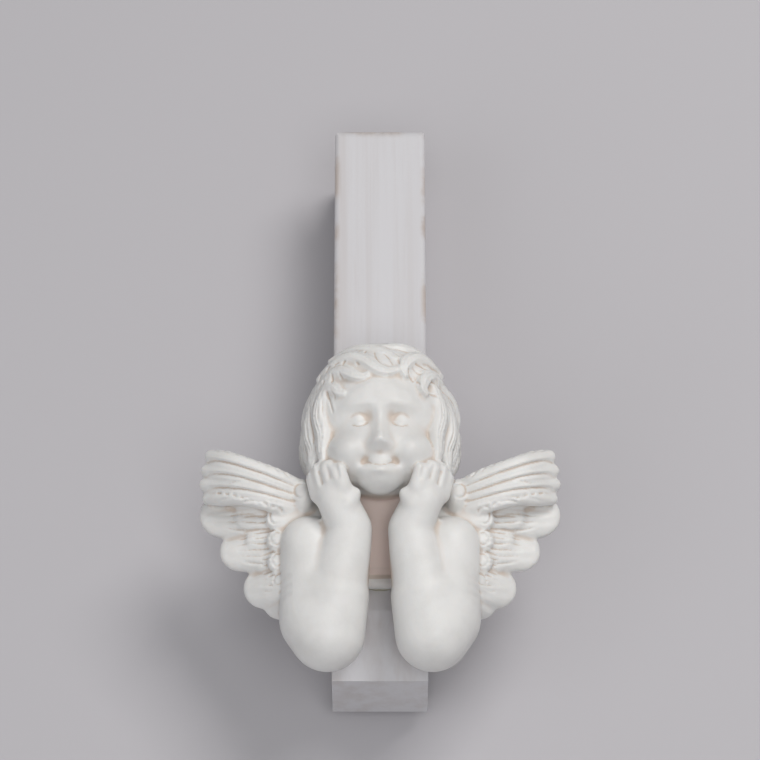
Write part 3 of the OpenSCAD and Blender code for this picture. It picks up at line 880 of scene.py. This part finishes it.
def wing_grooves():
    """The lines between the feathers and on them, on both wings."""
    grooves = []
    edge = smooth_line(leading_edge, 0.5)[:, :2]
    for side in (-1, 1):
        def add(points, width, depth):
            """The groove on this side's wing."""
            grooves.append(([(side * x, y) for x, y in points], width, depth))

        # deep grooves between the slender feathers and a fine one on each, then a row of notches under them
        apart = fan(np.linspace(0, 1, len(edge)))
        for rank, width, depth in ((0.5, 0.16, 0.3), (1.5, 0.16, 0.3), (2.5, 0.16, 0.3),
                                   (0.12, 0.1, 0.1), (1.1, 0.1, 0.1), (2.12, 0.1, 0.1), (3.08, 0.1, 0.1)):
            add((edge - np.outer(rank * apart, (0, 1)))[1:-1], width, depth)
        for k in range(9):
            share = (k + 0.5) / 9
            x, y = 10.8 + 8.0 * share, 16.7 + 2.6 * share - 0.3 * math.sin(math.pi * share)
            add([(x - 0.3, y - 0.12), (x, y - 0.05), (x + 0.32, y + 0.16)], 0.17, 0.22)
        # tufts on the upper edge
        for k in range(8):
            x = 10.3 + 1.15 * k
            y = 20.3 + 0.42 * (x - 10)
            add([(x, y), (x + 0.5, y + 0.5), (x + 0.7, y + 1.0)], 0.13, 0.22)
        # every long feather has fine barbs that fade before its round end, where only soft waves are left
        for x, y, z, radius in long_feathers:
            for offset in (-0.5, 0.0, 0.5):
                add([(x - 1.5, y + offset * radius), (x + 0.2 * radius, y + offset * radius * 0.95),
                     (x + 0.75 * radius, y + offset * radius * 0.7)], 0.3, 0.08)
            for offset in (-0.8, -0.5, -0.2, 0.1, 0.4, 0.7):
                start = max(11.9, x - 4.2) + 0.5 * abs(offset)
                end = x + radius * (0.3 - 0.4 * abs(offset))
                if end - start > 0.8:
                    add([(start, y + offset * radius - 0.12 * (x - start)),
                         ((start + end) / 2, y + offset * radius - 0.05 * (x - start)),
                         (end, y + offset * radius * 0.85)], 0.12, 0.16)
        for x, y, z, radius in short_feathers:
            for offset in (-0.6, -0.1, 0.4):
                add([(max(x - 2.4, 11.8), y + offset * radius - 0.25),
                     (max(x - 0.8, 12.2), y + offset * radius - 0.05),
                     (x + 0.6, y + offset * radius * 0.8)], 0.12, 0.24)
        # a ring on each scale and on the knob
        for x, y, z, radius in scales + [(knob[0] + 0.1, knob[1], 0, 1.5)]:
            add([(x + 0.1 + 0.5 * radius * math.cos(a), y + 0.6 * radius * math.sin(a))
                 for a in np.linspace(-2.4, 2.4, 9)], 0.12, 0.2)
    return grooves


def mark_painted_shade(piece):
    """How deep each place lies under its neighbours, with the forearms' gap added, as the attribute by which
    the resin's colour is given painted shade.
    """
    mesh = piece.data
    places = read(mesh, "places")
    normals = read(mesh, "normals")
    ends = np.empty(len(mesh.edges) * 2, int)
    mesh.edges.foreach_get("vertices", ends)
    a, b = ends.reshape(-1, 2).T
    links = np.bincount(a, minlength=len(places)) + np.bincount(b, minlength=len(places))
    mean = places.copy()
    depth = np.zeros(len(places))
    few, many = 3, 24
    for turn in range(1, many + 1):
        mean = np.stack([np.bincount(a, mean[b, i], len(places)) + np.bincount(b, mean[a, i], len(places))
                         for i in range(3)], axis=1) / links[:, None]
        if turn in (few, many):
            depth += np.einsum("ij,ij->i", mean - places, normals) / MM * (2.0 if turn == few else 1.0)
    x, y = places[:, 0] / MM, (places[:, 1] - start_y) / MM
    z = (places[:, 2] - back_z) / MM
    # painted shade: the deeper a place lies under its neighbours, the browner the resin is painted there
    painted_shade = np.clip(depth / 0.35, -1, 1)
    # painted shade: the gap between the forearms is tinted all over, up to the throat
    gap = 2.4 * (1 - rise(np.abs(x), 1.6, 3.4))
    gap = gap * rise(y, 6.5, 9.5) * (1 - rise(y, 19.5, 21.5))
    painted_shade += gap * (1 - rise(z, 5.0, 8.0))
    attribute = mesh.attributes.new("painted_shade", "FLOAT", "POINT")
    attribute.data.foreach_set("value", painted_shade)


# tones of the resin: its two pale ones, the brown of painted shade in its hollows, and the painted shade in
# the forearms' gap
pale_resin, cream_resin = (0.760, 0.752, 0.735, 1), (0.700, 0.690, 0.672, 1)
painted_hollow_shade = (0.600, 0.520, 0.455, 1)
painted_gap_shade = (0.760, 0.630, 0.575, 1)


def resin_material():
    """Satin off-white resin, with painted shade in its hollows and in the forearms' gap."""
    material, shader = new_material("off_white_resin")
    place = node(material, "ShaderNodeTexCoord")
    painted_shade = node(material, "ShaderNodeAttribute", attribute_name="painted_shade")
    deep = step_up(material, painted_shade.outputs["Fac"], 0.05, 0.9)
    cloud = noise(material, place.outputs["Object"], 240, 4)
    grain = noise(material, place.outputs["Object"], 5200, 3)
    pale = mix(material, step_up(material, cloud, 0.35, 0.70), pale_resin, cream_resin)
    # painted shade: the resin turns brown in its hollows
    tinted = mix(material, deep, pale, painted_hollow_shade)
    # painted shade: the forearms' gap takes its own warm brown tone
    gap = step_up(material, painted_shade.outputs["Fac"], 1.0, 2.0)
    material.node_tree.links.new(mix(material, gap, tinted, painted_gap_shade), shader.inputs["Base Color"])
    shader.inputs["Roughness"].default_value = 0.46
    shader.inputs["Specular IOR Level"].default_value = 0.4
    shader.inputs["Subsurface Weight"].default_value = 0.12
    shader.inputs["Subsurface Radius"].default_value = (0.0012, 0.0009, 0.0007)
    shader.inputs["Subsurface Scale"].default_value = 1.0
    height = calculate(material, "ADD", calculate(material, "MULTIPLY", cloud, 2.0), grain)
    bump(material, shader, height, 0.3, 0.00004)
    return material


press_face(casting)
cut(casting, hair_grooves(curl_lines))
cut(casting, face_grooves() + wing_grooves())
change(casting, "SMOOTH", factor=0.5, iterations=1)
# the painted shade of the hollows and the forearms' gap, stored on the skin
mark_painted_shade(casting)
triangles = sum(len(polygon.vertices) - 2 for polygon in casting.data.polygons)
change(casting, "DECIMATE", ratio=min(1.0, most_triangles / triangles))
flatten_back(casting)
bpy.ops.object.shade_smooth()
casting.data.materials.clear()
casting.data.materials.append(resin_material())
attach(casting, "upper_lever")
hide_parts("cherub_casting")
